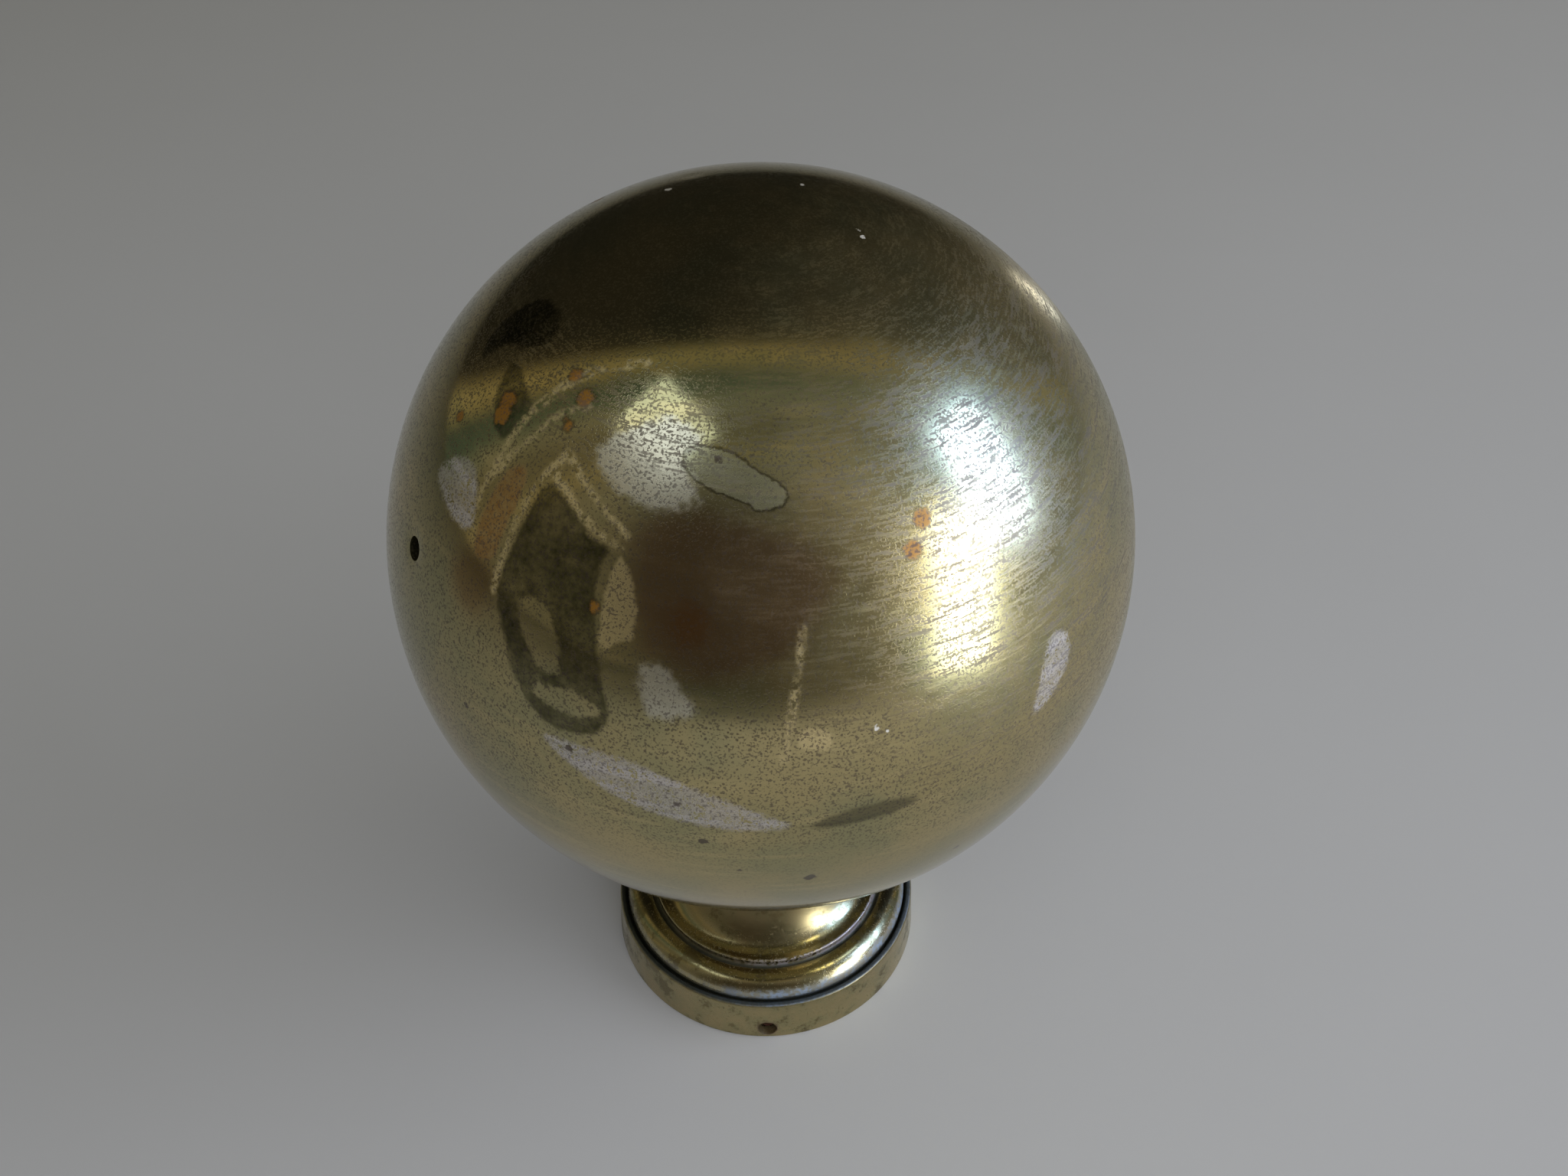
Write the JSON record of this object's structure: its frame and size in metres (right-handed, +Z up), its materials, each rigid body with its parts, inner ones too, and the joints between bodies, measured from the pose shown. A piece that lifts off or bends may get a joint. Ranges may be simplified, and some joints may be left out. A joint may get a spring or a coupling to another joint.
{
  "type": "newel post ball finial",
  "caption": "Hollow brass ball on a turned brass collar with a base ring and side set screws, which caps a stair newel post.",
  "frame": {"origin": "centre of the foot, on the surface that it stands on", "axes": "+Z up through the collar and the ball; -Y is the front, where the first set screw is"},
  "size_m": [0.1, 0.1, 0.1355],
  "materials": {
    "ball_brass": "worn old polish with brown tarnish",
    "inner_brass": "dull, unpolished",
    "collar_brass": "polished, dark in the grooves",
    "steel": "plain turned steel",
    "rusty_steel": "rusted"
  },
  "bodies": {
    "collar": {"collar": "collar_brass", "base_ring": "collar_brass", "clamp_washer": "steel"},
    "ball": {"upper_shell": "ball_brass", "lower_shell": "ball_brass", "seam_band": "inner_brass", "stud_boss": "inner_brass", "tie_stud": "steel"},
    "nut": {"clamp_nut": "steel"},
    "front_screw": {"set_screw_front": "rusty_steel"},
    "right_screw": {"set_screw_right": "rusty_steel"},
    "left_screw": {"set_screw_left": "rusty_steel"}
  },
  "joints": [
    {"name": "ball_turn", "type": "hinge", "parent": "collar", "child": "ball", "pos_m": [0, 0, 0.0855], "axis": [0, 0, 1], "continuous": true},
    {"name": "nut_turn", "type": "hinge", "parent": "ball", "child": "nut", "pos_m": [0, 0, 0.011], "axis": [0, 0, 1], "continuous": true},
    {"name": "front_screw_drive", "type": "slide", "parent": "collar", "child": "front_screw", "axis": [0, 1, 0], "range_m": [-0.0008, 0.0045]},
    {"name": "right_screw_drive", "type": "slide", "parent": "collar", "child": "right_screw", "axis": [-0.866, -0.5, 0], "range_m": [-0.0008, 0.0045]},
    {"name": "left_screw_drive", "type": "slide", "parent": "collar", "child": "left_screw", "axis": [0.866, -0.5, 0], "range_m": [-0.0008, 0.0045]}
  ]
}
